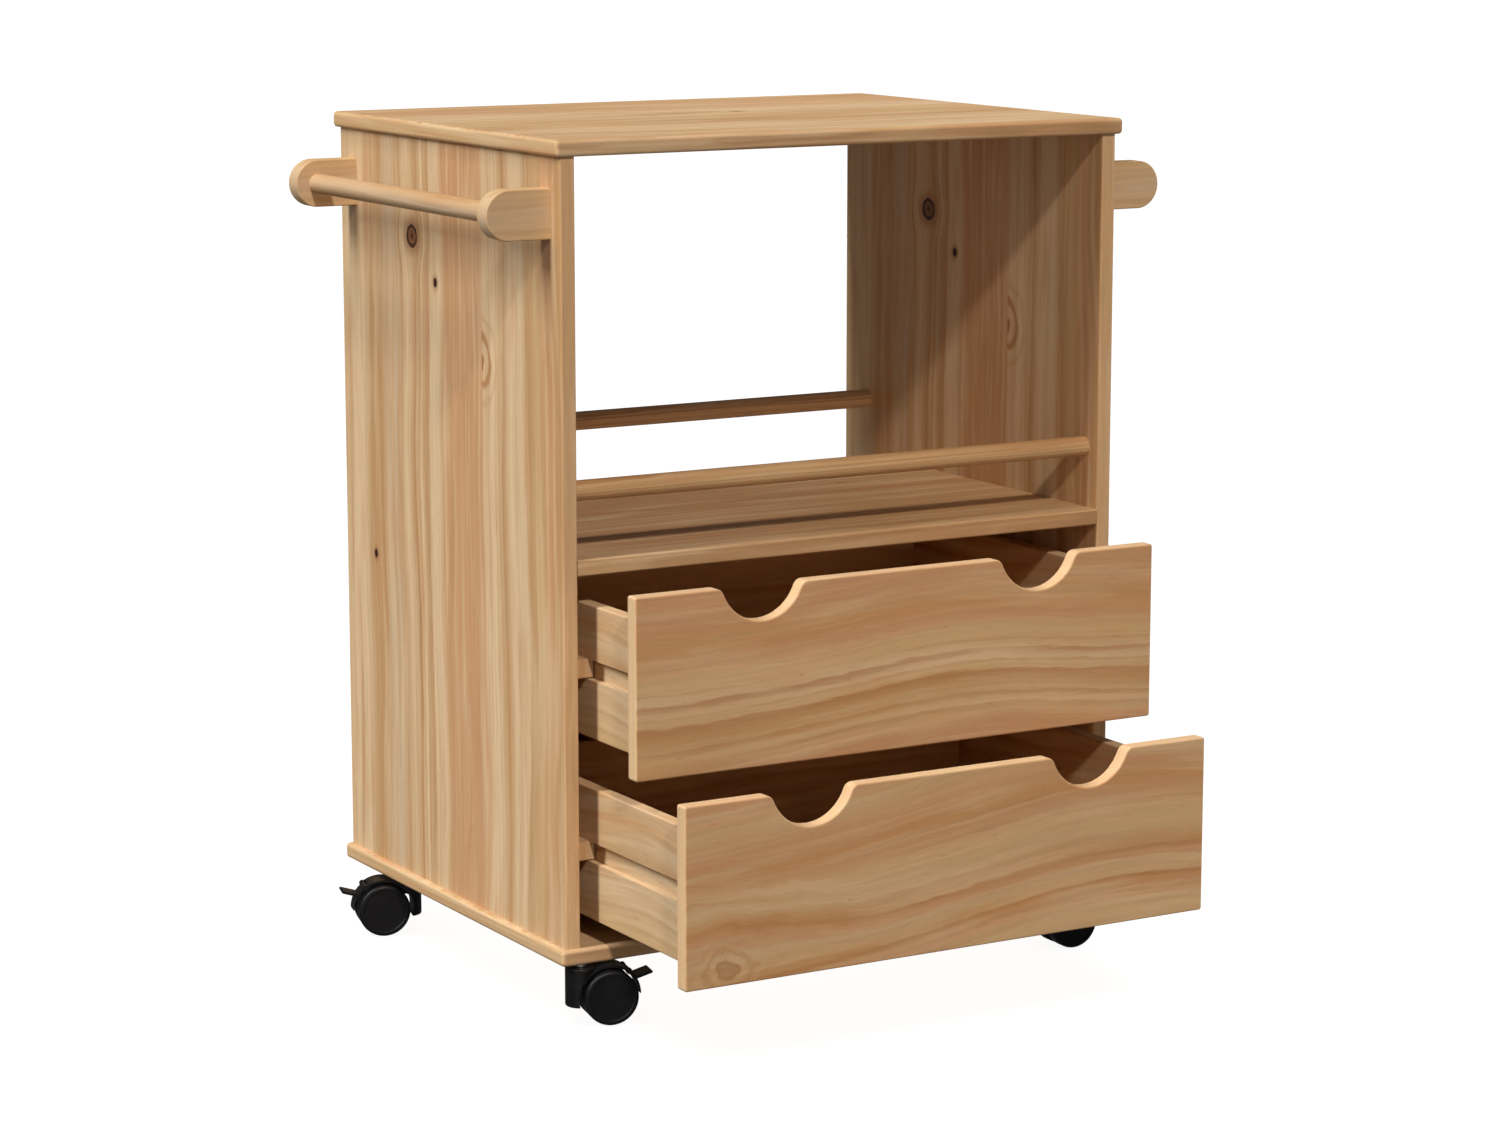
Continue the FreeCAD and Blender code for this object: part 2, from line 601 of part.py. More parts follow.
def brake_blade(half_width):
    """The lever's thin blade behind the wheels: round outside, with an inner face that closes on the tip."""
    start, stop = HOOD_REAR_ANGLE, PIVOT_ANGLE
    middle = (start + stop) / 2
    tip, root = around_axle(start, BLADE_OUTER), around_axle(stop, BLADE_OUTER)
    inner_root, inner_tip = around_axle(stop, BLADE_INNER), around_axle(start, BLADE_TIP)
    edges = [Part.Arc(tip, around_axle(middle, BLADE_OUTER), root).toShape()]
    edges.append(Part.LineSegment(root, inner_root).toShape())
    edges.append(Part.Arc(inner_root, around_axle(middle, BLADE_MIDDLE), inner_tip).toShape())
    edges.append(Part.LineSegment(inner_tip, tip).toShape())
    face = Part.Face(Part.Wire(edges))
    face.translate(Y_AXIS * -half_width)
    return face.extrude(Y_AXIS * (2 * half_width))


def brake_lever():
    pivot = around_axle(PIVOT_ANGLE, PIVOT_REACH)
    width = LEVER_HALF_WIDTH
    knuckle = across(pivot, KNUCKLE_RADIUS, width)
    pin = across(pivot, PIVOT_RADIUS, EAR_OUTER)
    blade = brake_blade(width)
    root = V(WHEEL_TRAIL + TAB_ROOT[0], -width, AXLE_Z + TAB_ROOT[1])
    tip = V(WHEEL_TRAIL + TAB_TIP[0], -width, AXLE_Z + TAB_TIP[1])
    along = (tip - root).normalize()
    up = V(-along.z, 0, along.x) * (TAB_THICKNESS / 2)
    nose = tip + along * (TAB_THICKNESS / 2)
    edges = [Part.LineSegment(root - up, tip - up).toShape()]
    edges.append(Part.Arc(tip - up, nose, tip + up).toShape())
    edges.append(Part.LineSegment(tip + up, root + up).toShape())
    edges.append(Part.LineSegment(root + up, root - up).toShape())
    tab = Part.Face(Part.Wire(edges)).extrude(Y_AXIS * (2 * width))
    tab = tab.cut(across(V(WHEEL_TRAIL, 0, AXLE_Z), BLADE_INNER, 2 * width))
    return knuckle.multiFuse([pin, blade, tab]).removeSplitter()


def caster_stem():
    shank = rod(V(0, 0, STEM_BOTTOM), Z_AXIS, STEM_RADIUS, CASTER_HEIGHT + INSERT_DEPTH - STEM_BOTTOM)
    collar = rod(V(0, 0, CASTER_HEIGHT - COLLAR_HEIGHT), Z_AXIS, COLLAR_RADIUS, COLLAR_HEIGHT)
    return shank.fuse(collar).removeSplitter()


def caster_axle():
    return across(V(WHEEL_TRAIL, 0, AXLE_Z), AXLE_RADIUS, AXLE_HALF)


def caster_wheel(side):
    """A cup-shaped wheel: round outer edge, a shallow dish in its face and a blind bore for the axle."""
    r = WHEEL_RADIUS
    bore = AXLE_RADIUS + WHEEL_PLAY
    inner, outer, edge = WHEEL_INNER, WHEEL_OUTER, WHEEL_EDGE
    bulge = edge * (1 - math.sqrt(0.5))
    blind = AXLE_HALF + AXLE_END_PLAY
    bevel = WHEEL_INNER_BEVEL
    floor = outer - DISH_DEPTH
    rim = r - edge - WHEEL_RIM
    points = [V(bore, inner, 0), V(r - bevel, inner, 0), V(r, inner + bevel, 0), V(r, outer - edge, 0)]
    edges = [Part.LineSegment(a, b).toShape() for a, b in zip(points, points[1:])]
    edges.append(Part.Arc(points[-1], V(r - bulge, outer - bulge, 0), V(r - edge, outer, 0)).toShape())
    face = [V(r - edge, outer, 0), V(rim, outer, 0), V(rim - DISH_SLOPE, floor, 0)]
    face += [V(0, floor, 0), V(0, blind, 0), V(bore, blind, 0), V(bore, inner, 0)]
    edges += [Part.LineSegment(a, b).toShape() for a, b in zip(face, face[1:])]
    wheel = Part.Face(Part.Wire(edges)).revolve(V(0, 0, 0), Y_AXIS, 360)
    if side < 0:
        wheel.rotate(V(0, 0, 0), X_AXIS, 180)
    wheel.translate(V(WHEEL_TRAIL, 0, AXLE_Z))
    return wheel


def placed(shape, place, turn):
    shape = shape.copy()
    shape.rotate(V(0, 0, 0), Z_AXIS, turn)
    shape.translate(place)
    return shape


def caster_nodes(name, side, end, turn, braked):
    place = caster_place(side, end)
    pieces = {
        "stem": caster_stem(),
        "body": caster_body(braked),
        "axle": caster_axle(),
        "wheel_a": caster_wheel(-1),
        "wheel_b": caster_wheel(1),
    }
    if braked:
        pieces["brake"] = brake_lever()
    return {"caster_%s_%s" % (name, key): placed(piece, place, turn) for key, piece in pieces.items()}


def caster_inserts():
    inserts = []
    for _, side, end, _, _ in CASTERS:
        place = caster_place(side, end)
        shank = rod(V(place.x, place.y, CASTER_HEIGHT), Z_AXIS, STEM_RADIUS, INSERT_DEPTH)
        inserts.append(insert_rod(place).cut(shank))
    return group(inserts)


# ---- The whole cart ---------------------------------------------------------------------------------------
def cabinet_nodes():
    return {
        "top_panel": top_panel(),
        "side_panel_left": side_panel(-1),
        "side_panel_right": side_panel(1),
        "base_panel": base_panel(),
        "shelf": shelf(),
        "back_panel": back_panel(),
        "rail_front": rail(FRONT_RAIL_Y),
        "rail_back": rail(BACK_RAIL_Y),
        "top_dowels": group([top_dowel(p) for p in top_dowel_places()]),
        "shelf_dowels": group([shelf_dowel(s, p) for s, p in shelf_dowel_places()]),
        "handle_dowels": group([bracket_dowel(s, p) for s, p in bracket_dowel_places()]),
        "base_screws": group([wood_screw(base_screw_start(p), Z_AXIS, base_screw_length())
                              for p in base_screw_places()]),
        "runner_screws": group([wood_screw(runner_screw_start(s, p), X_AXIS * s, runner_screw_length())
                                for s, p in runner_screw_places()]),
        "caster_inserts": caster_inserts(),
    }


def all_nodes():
    nodes = cabinet_nodes()
    for label, side in (("left", -1), ("right", 1)):
        nodes["handle_%s_bracket_front" % label] = bracket(side, -1)
        nodes["handle_%s_bracket_back" % label] = bracket(side, 1)
        nodes["handle_%s_bar" % label] = handle_bar(side)
        nodes["runner_upper_%s" % label] = runner(side, UPPER_FRONT_Z)
        nodes["runner_lower_%s" % label] = runner(side, LOWER_FRONT_Z)
    nodes.update(drawer_nodes("upper", PANEL_FRONT - UPPER_OPEN, UPPER_FRONT_Z))
    nodes.update(drawer_nodes("lower", PANEL_FRONT - LOWER_OPEN, LOWER_FRONT_Z))
    for caster in CASTERS:
        nodes.update(caster_nodes(*caster))
    return nodes


os.makedirs("parts", exist_ok=True)
for node, shape in all_nodes().items():
    shape.exportStep("parts/%s.step" % node)
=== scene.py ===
import json
import math

import bpy
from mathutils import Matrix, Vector


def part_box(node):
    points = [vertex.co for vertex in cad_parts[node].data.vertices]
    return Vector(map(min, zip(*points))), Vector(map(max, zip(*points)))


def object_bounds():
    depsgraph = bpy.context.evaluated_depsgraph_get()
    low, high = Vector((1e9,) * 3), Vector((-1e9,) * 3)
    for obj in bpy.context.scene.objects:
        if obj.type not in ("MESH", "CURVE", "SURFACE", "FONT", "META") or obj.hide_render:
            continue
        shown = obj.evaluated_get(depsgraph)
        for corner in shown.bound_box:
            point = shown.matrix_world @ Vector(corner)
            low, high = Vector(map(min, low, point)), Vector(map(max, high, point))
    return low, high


# The looks of the rolling pantry cart, in metres: pine cut board by board, moulded plastic, plated steel, a
# plain studio and the camera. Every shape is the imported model's own.

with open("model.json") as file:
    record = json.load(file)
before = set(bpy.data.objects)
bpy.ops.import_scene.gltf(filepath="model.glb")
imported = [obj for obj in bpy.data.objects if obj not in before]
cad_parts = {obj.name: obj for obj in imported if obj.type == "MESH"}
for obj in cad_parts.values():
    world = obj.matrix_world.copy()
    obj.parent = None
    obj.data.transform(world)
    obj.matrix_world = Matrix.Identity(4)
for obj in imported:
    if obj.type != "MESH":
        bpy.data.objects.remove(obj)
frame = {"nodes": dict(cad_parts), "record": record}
CAD_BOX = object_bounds()
nodes = frame["nodes"]
slot_of = {part["node"]: part["material_slot"] for part in frame["record"]["subparts"]}
AXES = "xyz"


# ---- Shader helpers ---------------------------------------------------------------------------------------
def srgb(red, green, blue):
    """A linear colour from the usual 0-255 values."""
    def linear(value):
        value /= 255
        return value / 12.92 if value <= 0.04045 else ((value + 0.055) / 1.055) ** 2.4
    return (linear(red), linear(green), linear(blue), 1.0)


class Graph:
    """Short calls that add nodes to one material's tree and return the socket that matters."""

    def __init__(self, name):
        self.material = bpy.data.materials.new(name)
        self.material.use_nodes = True
        self.tree = self.material.node_tree
        self.shader = self.tree.nodes["Principled BSDF"]
        source = self.tree.nodes.new("ShaderNodeTexCoord")
        self.place = source.outputs["Object"]
        self.facing = source.outputs["Normal"]

    def feed(self, socket, value):
        if isinstance(value, bpy.types.NodeSocket):
            self.tree.links.new(value, socket)
        else:
            socket.default_value = value

    def node(self, kind, inputs, **settings):
        made = self.tree.nodes.new(kind)
        for key, value in settings.items():
            setattr(made, key, value)
        for key, value in inputs.items():
            self.feed(made.inputs[key], value)
        return made

    def math(self, operation, first, second=0.0):
        return self.node("ShaderNodeMath", {0: first, 1: second}, operation=operation).outputs[0]

    def add(self, first, second):
        return self.math("ADD", first, second)

    def sub(self, first, second):
        return self.math("SUBTRACT", first, second)

    def mul(self, first, second):
        return self.math("MULTIPLY", first, second)

    def length(self, first, second):
        """The square root of the sum of two squares."""
        return self.math("SQRT", self.add(self.mul(first, first), self.mul(second, second)))

    def vector(self, x, y, z):
        return self.node("ShaderNodeCombineXYZ", {0: x, 1: y, 2: z}).outputs[0]

    def parts(self, vector):
        return self.node("ShaderNodeSeparateXYZ", {0: vector}).outputs

    def scaled(self, vector, rate):
        return self.node("ShaderNodeVectorMath", {0: vector, "Scale": rate}, operation="SCALE").outputs[0]

    def noise(self, vector, detail=2.0, roughness=0.5):
        """Noise between 0 and 1, one cycle per unit of the vector."""
        inputs = {"Vector": vector, "Scale": 1.0, "Detail": detail, "Roughness": roughness}
        return self.node("ShaderNodeTexNoise", inputs).outputs[0]

    def drawn_out(self, along, across, through, rates, seed=0.0, detail=2.0, roughness=0.5):
        """Noise with so many cycles per metre along the grain, and so many across it."""
        rate_along, rate_across = rates
        depth = self.add(self.mul(through, rate_across), seed)
        place = self.vector(self.mul(along, rate_along), self.mul(across, rate_across), depth)
        return self.noise(place, detail, roughness)

    def chance(self, value):
        """A random number for each whole value."""
        return self.node("ShaderNodeTexWhiteNoise", {"W": value}, noise_dimensions="1D").outputs[0]

    def ease(self, value, start, stop, low=0.0, high=1.0):
        """A smooth step from low to high while the value goes from start to stop."""
        inputs = {"Value": value, "From Min": start, "From Max": stop, "To Min": low, "To Max": high}
        return self.node("ShaderNodeMapRange", inputs, interpolation_type="SMOOTHSTEP").outputs[0]

    def blend(self, amount, first, second):
        """One number or the other."""
        return self.node("ShaderNodeMix", {0: amount, 2: first, 3: second}, data_type="FLOAT").outputs[0]

    def mix(self, amount, first, second, blend="MIX"):
        """One colour or the other. Inputs 6 and 7 and output 2 are the node's colour sockets."""
        inputs = {0: amount, 6: first, 7: second}
        return self.node("ShaderNodeMix", inputs, data_type="RGBA", blend_type=blend).outputs[2]

    def ramp(self, value, stops):
        """A colour that runs through the stops: (position from 0 to 1, colour)."""
        made = self.node("ShaderNodeValToRGB", {0: value})
        points = made.color_ramp.elements
        while len(points) < len(stops):
            points.new(0.5)
        for point, (position, colour) in zip(points, stops):
            point.position = position
            point.color = colour
        return made.outputs[0]

    def bump(self, height, depth, strength=1.0):
        """A normal that follows a height from 0 to 1, with the full height in metres."""
        inputs = {"Height": height, "Distance": depth, "Strength": strength}
        return self.node("ShaderNodeBump", inputs).outputs[0]


# ---- Pine -------------------------------------------------------------------------------------------------
CREAM = srgb(214, 186, 147)
GREY = srgb(200, 173, 139)
STRAW = srgb(201, 167, 122)
TAN = srgb(186, 145, 99)
SALMON = srgb(197, 151, 109)
ORANGE = srgb(192, 143, 94)
EDGE = srgb(176, 137, 97)
LATEWOOD = srgb(168, 115, 66)
KNOT_DARK = srgb(52, 22, 12)
KNOT_BROWN = srgb(140, 88, 52)
# PALE is a tone of some boards, and also the colour of the painted highlight on narrow faces.
PALE = srgb(226, 194, 152)

# Patterns in the wood, in cycles per metre along and across the grain.
SLOW_BENDS = (2.6, 7.0)
SMALL_BENDS = (16.0, 70.0)
TORN_EDGES = (24.0, 420.0)
KNOT_OUTLINE = (110.0, 260.0)
ARC_OUTLINE = (26.0, 40.0)
RING_PATCHES = (3.0, 14.0)
FIBRES = (20.0, 800.0)
FINE_GRAIN = (3.5, 190.0)
PORES = (55.0, 500.0)
# Patches of colour: a shift that keeps them apart, cycles along, cycles across, and the colour.
PATCHES = (
    (1.0, 7.0, 55.0, SALMON),
    (31.0, 5.0, 38.0, CREAM),
    (57.0, 3.5, 90.0, TAN),
    (83.0, 2.5, 120.0, CREAM),
)
END_GRAIN_SQUEEZE = 1.5           # on a sawn end the rings show this much closer together
END_FACE = 0.7                    # a face whose normal runs this much along the grain is a sawn end
RELIEF = 0.00012                  # height of the grain's relief, in metres
PINE_GLOSS = (0.55, 0.42)         # roughness of plain wood, and of late wood and bright fibres
# Knots, in units of their own size.
KNOT_UNEVENNESS = {"ring": 0.4, "pin": 0.4, "soft": 0.5, "half": 0.6, "arc": 1.8}
KNOT_RINGS = 19.0                 # angle that the fine rings of a ring knot turn through in one unit
ARC_RINGS = 13.0                  # and the arcs of a figure
ARC = (1.5, 0.36)                 # how far a faint figure reaches, and how dark it is
HALF = (1.4, 0.95)                # and a strong one that ends at a glue line
OUT_OF_REACH = 9.0                # further than any knot shows


class Board:
    """How one board was cut: which way its grain runs, its staves, its colour bands, lines and knots.

    Lengths are metres, measured from the middle of the piece: first along the grain, then across it.
    """

    def __init__(self, grain, width, bands, joints=(), hearts=((0.0, 0.06),), ring=0.006, taper=0.03,
                 lines=0.25, streaks=(), arch=(0.0, 0.0, 0.2), wander=0.012, ripple=0.0012, patches=0.5,
                 rim=0.0, knots=(), seed=0.0):
        self.grain = AXES.index(grain)
        self.width = AXES.index(width)
        self.through = 3 - self.grain - self.width
        self.bands = bands            # (across, colour)
        self.joints = joints          # glue lines between staves
        self.hearts = hearts          # for each stave, the tree's centre: across the board and behind it
        self.ring = ring              # growth ring width
        self.taper = taper            # how fast the rings run out of the face
        self.lines = lines            # how dark the late wood is
        self.streaks = streaks        # single dark lines: (across, width, darkness)
        self.arch = arch              # where the grain bends: its middle along, its height and its reach
        self.wander = wander          # slow bends of the grain
        self.ripple = ripple          # small bends of the grain
        self.patches = patches        # how blotchy the colour is
        self.rim = rim                # how much paler the narrow faces are painted, a painted highlight
        self.knots = knots            # (along, across, half length, half width, kind)
        self.seed = seed


def stepped(g, across, joints, values):
    """A value that changes at each glue line."""
    result = values[0]
    for joint, before, after in zip(joints, values, values[1:]):
        result = g.add(result, g.mul(g.math("GREATER_THAN", across, joint), after - before))
    return result


def knot_marks(g, along, across, board):
    """For each knot, the distance from its middle in units of its own size, made uneven."""
    fine = g.sub(g.drawn_out(along, across, 0.0, KNOT_OUTLINE, board.seed), 0.5)
    broad = g.sub(g.drawn_out(along, across, 0.0, ARC_OUTLINE, board.seed, detail=3.0), 0.5)
    marks = []
    for at_along, at_across, half_length, half_width, kind in board.knots:
        side = g.sub(across, at_across)
        far = g.length(g.mul(g.sub(along, at_along), 1 / half_length), g.mul(side, 1 / half_width))
        outline = broad if kind in ("arc", "half") else fine
        far = g.add(far, g.mul(outline, KNOT_UNEVENNESS[kind]))
        if kind == "half":
            beyond_joint = g.math("GREATER_THAN", side, 0.0)
            far = g.add(far, g.mul(beyond_joint, OUT_OF_REACH))
        marks.append((far, side, kind))
    return marks


def bent_grain(g, along, across, through, marks, board):
    """The distance across the board, following the grain round its bends and knots."""
    slow = g.drawn_out(along, across, 0.0, SLOW_BENDS, board.seed, detail=1.0)
    small = g.drawn_out(along, across, through, SMALL_BENDS, board.seed)
    torn = g.drawn_out(along, across, through, TORN_EDGES, board.seed)
    line = g.add(across, g.mul(g.sub(slow, 0.5), 2 * board.wander))
    line = g.add(line, g.mul(g.sub(small, 0.5), 2 * board.ripple))
    line = g.add(line, g.mul(g.sub(torn, 0.5), 3 * board.ripple))
    middle, height, reach = board.arch
    if height:
        turn = g.mul(g.sub(along, middle), 1 / reach)
        line = g.sub(line, g.mul(g.math("EXPONENT", g.mul(g.mul(turn, turn), -1.0)), height))
    for far, side, kind in marks:
        if kind != "half":
            line = g.sub(line, g.mul(g.ease(far, 4.0, 0.8), g.mul(side, 0.5)))
    return line


def growth_rings(g, along, line, through, board):
    """Late wood between 0 and 1, from rings about the heart of each stave."""
    offset = stepped(g, line, board.joints, [heart[0] for heart in board.hearts])
    behind = stepped(g, line, board.joints, [heart[1] for heart in board.hearts])
    depth = g.add(g.add(through, behind), g.mul(along, board.taper))
    phase = g.math("DIVIDE", g.length(g.sub(line, offset), depth), board.ring)
    part = g.math("FRACT", phase)
    late = g.mul(g.ease(part, 0.15, 0.85), g.ease(part, 1.0, 0.92))
    weight = g.ease(g.chance(g.add(g.math("FLOOR", phase), board.seed)), 0.0, 1.0, 0.15, 1.0)
    return g.mul(late, weight)


def single_lines(g, along, line, board):
    """Strong lines of late wood: a soft start, a sharp end, and a darkness that comes and goes."""
    total = 0.0
    for index, (at, width, darkness) in enumerate(board.streaks):
        from_line = g.sub(line, at)
        shape = g.mul(g.ease(from_line, -width, 0.0), g.ease(from_line, 0.25 * width, 0.0))
        fade = g.noise(g.vector(g.mul(along, 5.0), index * 3.7, board.seed), 2.0)
        total = g.math("MAXIMUM", total, g.mul(shape, g.mul(g.ease(fade, 0.25, 0.6, 0.3, 1.0), darkness)))
    return total


def colour_bands(g, along, line, through, board):
    """Broad bands across the board, with paler and redder patches laid over them."""
    low = board.bands[0][0]
    span = board.bands[-1][0] - low
    stops = [((across - low) / span, colour) for across, colour in board.bands]
    colour = g.ramp(g.mul(g.sub(line, low), 1 / span), stops)
    for shift, rate_along, rate_across, tone in PATCHES:
        cloud = g.drawn_out(along, line, through, (rate_along, rate_across), board.seed + shift)
        colour = g.mix(g.ease(cloud, 0.48, 0.72, 0.0, board.patches), colour, tone)
    return colour


def ring_knot(g, colour, far):
    """A dark rim round a brown heart with fine rings, and a stain about it."""
    colour = g.mix(g.ease(far, 2.2, 1.1, 0.0, 0.5), colour, KNOT_BROWN)
    colour = g.mix(g.ease(far, 1.0, 0.9, 0.0, 0.8), colour, KNOT_BROWN)
    rings = g.ease(g.math("SINE", g.mul(far, KNOT_RINGS)), 0.0, 1.0, 0.1, 0.7)
    colour = g.mix(g.mul(g.ease(far, 0.85, 0.75), rings), colour, KNOT_DARK)
    rim = g.mul(g.ease(far, 1.12, 1.0), g.ease(far, 0.7, 0.85, 0.0, 0.95))
    colour = g.mix(rim, colour, KNOT_DARK)
    return g.mix(g.ease(far, 0.35, 0.15), colour, KNOT_DARK)


def pin_knot(g, colour, far):
    """A small knot, dark all through."""
    colour = g.mix(g.ease(far, 2.4, 1.0, 0.0, 0.45), colour, KNOT_BROWN)
    return g.mix(g.ease(far, 1.1, 0.75), colour, KNOT_DARK)


def soft_knot(g, colour, far):
    """A faint knot with a small dark heart."""
    colour = g.mix(g.ease(far, 1.6, 0.6, 0.0, 0.6), colour, KNOT_BROWN)
    return g.mix(g.ease(far, 0.6, 0.3, 0.0, 0.7), colour, KNOT_DARK)


def arc_figure(g, colour, far, reach, strength):
    """Arcs of late wood round a faint brown heart, where a branch lies just under the face."""
    fade = g.ease(far, reach, 0.3, 0.0, strength)
    arcs = g.mul(g.ease(g.math("SINE", g.mul(far, ARC_RINGS)), -0.4, 1.0), fade)
    colour = g.mix(arcs, colour, LATEWOOD)
    return g.mix(g.ease(far, 0.3, 0.08, 0.0, 0.35), colour, KNOT_BROWN)


def paint_knots(g, colour, marks):
    """The colour with every knot of the board on it."""
    for far, _, kind in marks:
        if kind == "ring":
            colour = ring_knot(g, colour, far)
        elif kind == "pin":
            colour = pin_knot(g, colour, far)
        elif kind == "soft":
            colour = soft_knot(g, colour, far)
        elif kind == "arc":
            colour = arc_figure(g, colour, far, *ARC)
        else:
            colour = arc_figure(g, colour, far, *HALF)
    return colour


def late_wood(g, run, line, through, board):
    """Growth rings, strong in some patches and faint in others."""
    patch = g.ease(g.drawn_out(run, line, 0.0, RING_PATCHES, board.seed), 0.35, 0.65, 0.1, 1.0)
    return g.mul(growth_rings(g, run, line, through, board), patch)


def fine_tone(g, colour, fibre, run, line, through, board):
    """The colour with the fibres and the fine grain in it, as small changes of brightness."""
    grain = g.drawn_out(run, line, through, FINE_GRAIN, board.seed, detail=3.0, roughness=0.6)
    tone = g.add(g.ease(fibre, 0.25, 0.75, 0.46, 0.535), g.ease(grain, 0.32, 0.68, 0.455, 0.55))
    return g.mix(1.0, colour, g.vector(tone, tone, tone), "MULTIPLY")


def pine(name, board, middle):
    """Lacquered pine for one piece, cut as its board says, with its pattern fixed to the piece."""
    g = Graph(name)
    place = g.parts(g.node("ShaderNodeVectorMath", {0: g.place, 1: middle}, operation="SUBTRACT").outputs[0])
    along, across, through = place[board.grain], place[board.width], place[board.through]
    facing = g.parts(g.facing)
    end = g.math("GREATER_THAN", g.math("ABSOLUTE", facing[board.grain]), END_FACE)
    marks = knot_marks(g, along, across, board)
    bent = bent_grain(g, along, across, through, marks, board)
    run = g.blend(end, along, across)
    line = g.blend(end, bent, g.mul(through, END_GRAIN_SQUEEZE))
    late = late_wood(g, run, line, through, board)
    fibre = g.drawn_out(run, line, through, FIBRES, detail=3.0, roughness=0.6)
    pores = g.ease(g.drawn_out(run, line, through, PORES, board.seed), 0.64, 0.76)

    colour = colour_bands(g, run, line, through, board)
    colour = g.mix(g.mul(late, board.lines), colour, LATEWOOD)
    colour = g.mix(single_lines(g, run, line, board), colour, LATEWOOD)
    colour = paint_knots(g, colour, marks)
    # Painted highlight: narrow faces, edges and roundings are mixed towards PALE as if lit, by how far they
    # turn from the broad face.
    broad_face = g.math("ABSOLUTE", facing[board.through])
    colour = g.mix(g.ease(broad_face, 0.75, 0.30, 0.0, board.rim), colour, PALE)
    colour = fine_tone(g, colour, fibre, run, line, through, board)
    colour = g.mix(g.mul(pores, 0.3), colour, LATEWOOD)
    g.feed(g.shader.inputs["Base Color"], colour)

    gloss = g.add(g.mul(late, 0.5), g.mul(fibre, 0.6))
    g.feed(g.shader.inputs["Roughness"], g.ease(gloss, 0.1, 0.9, *PINE_GLOSS))
    relief = g.add(g.mul(fibre, 0.6), g.sub(g.mul(late, 0.5), g.mul(pores, 0.5)))
    g.feed(g.shader.inputs["Normal"], g.bump(relief, RELIEF, 0.6))
    g.shader.inputs["Specular IOR Level"].default_value = 0.3
    return g.material


# ---- How each board was cut -------------------------------------------------------------------------------
PLAIN_BANDS = ((-0.25, EDGE), (-0.243, STRAW), (-0.15, CREAM), (-0.08, TAN), (0.0, STRAW), (0.06, CREAM),
               (0.15, SALMON), (0.25, STRAW))
SHELF_BANDS = ((-0.214, EDGE), (-0.208, STRAW), (-0.12, TAN), (-0.05, STRAW), (0.03, TAN), (0.10, STRAW),
               (0.214, SALMON))
SMALL_BANDS = ((-0.06, STRAW), (-0.03, CREAM), (0.0, TAN), (0.03, CREAM), (0.06, STRAW))
SIDE = Board("z", "y", joints=(-0.168, -0.078, 0.004, 0.143), ring=0.0075, taper=0.05, lines=0.20,
             hearts=((-0.215, 0.035), (-0.30, 0.02), (-0.04, 0.09), (0.20, 0.03), (0.10, 0.05)),
             bands=((-0.245, TAN), (-0.215, SALMON), (-0.195, STRAW), (-0.172, TAN), (-0.160, CREAM),
                    (-0.142, CREAM), (-0.125, TAN), (-0.108, CREAM), (-0.085, CREAM), (-0.074, SALMON),
                    (-0.020, SALMON), (0.006, SALMON), (0.018, CREAM), (0.034, CREAM), (0.044, TAN),
                    (0.056, CREAM), (0.068, TAN), (0.088, CREAM), (0.104, TAN), (0.118, GREY), (0.142, GREY),
                    (0.152, TAN), (0.178, TAN), (0.200, CREAM), (0.222, CREAM), (0.245, STRAW)),
             streaks=((-0.169, 0.003, 0.35), (-0.125, 0.004, 0.35), (-0.108, 0.004, 0.40),
                      (0.041, 0.004, 0.50), (0.052, 0.003, 0.45), (0.061, 0.004, 0.50), (0.070, 0.004, 0.45),
                      (0.104, 0.004, 0.30)),
             seed=2.0, wander=0.018, ripple=0.0016, patches=0.55, rim=0.3,
             knots=((0.280, 0.076, 0.0110, 0.0115, "ring"), (0.238, 0.024, 0.0050, 0.0042, "pin"),
                    (-0.056, 0.173, 0.0050, 0.0042, "pin"), (0.171, -0.078, 0.038, 0.030, "half")))
TOP = Board("x", "y", PLAIN_BANDS, joints=(-0.17, -0.09, -0.01, 0.08, 0.17), ring=0.0055, lines=0.60,
            hearts=((-0.3, 0.03), (0.0, 0.05), (-0.2, 0.02), (0.05, 0.04), (-0.1, 0.03), (0.3, 0.05)),
            patches=0.7, seed=11.0, knots=((0.038, 0.037, 0.010, 0.006, "soft"),))
SHELF = Board("x", "y", SHELF_BANDS, joints=(-0.12, -0.03, 0.07, 0.14), ring=0.0055, lines=0.85, seed=23.0,
              patches=0.8,
              hearts=((0.1, 0.02), (-0.2, 0.03), (0.0, 0.03), (-0.1, 0.03), (0.3, 0.03)),
              knots=((0.164, 0.067, 0.020, 0.006, "arc"),))
BASE = Board("x", "y", PLAIN_BANDS, joints=(-0.16, -0.07, 0.03, 0.12, 0.19), ring=0.006, lines=0.55,
             hearts=((0.1, 0.02), (-0.2, 0.03), (0.0, 0.04), (-0.1, 0.03), (0.3, 0.03), (0.0, 0.04)),
             seed=31.0)
FRONT_UPPER = Board("x", "z", arch=(0.07, 0.020, 0.17), ring=0.009, hearts=((-0.30, 0.02),), lines=0.08,
                    wander=0.006, ripple=0.0020, seed=41.0, rim=0.6, patches=0.4,
                    bands=((-0.09, SALMON), (-0.075, STRAW), (-0.062, STRAW), (-0.048, TAN), (-0.035, STRAW),
                           (-0.024, CREAM), (-0.010, STRAW), (0.002, STRAW), (0.016, SALMON), (0.035, ORANGE),
                           (0.055, SALMON), (0.090, SALMON)),
                    streaks=((-0.062, 0.008, 0.55), (-0.040, 0.009, 0.65), (-0.030, 0.004, 0.35),
                             (-0.019, 0.009, 0.60), (-0.008, 0.004, 0.25), (-0.074, 0.005, 0.30)))
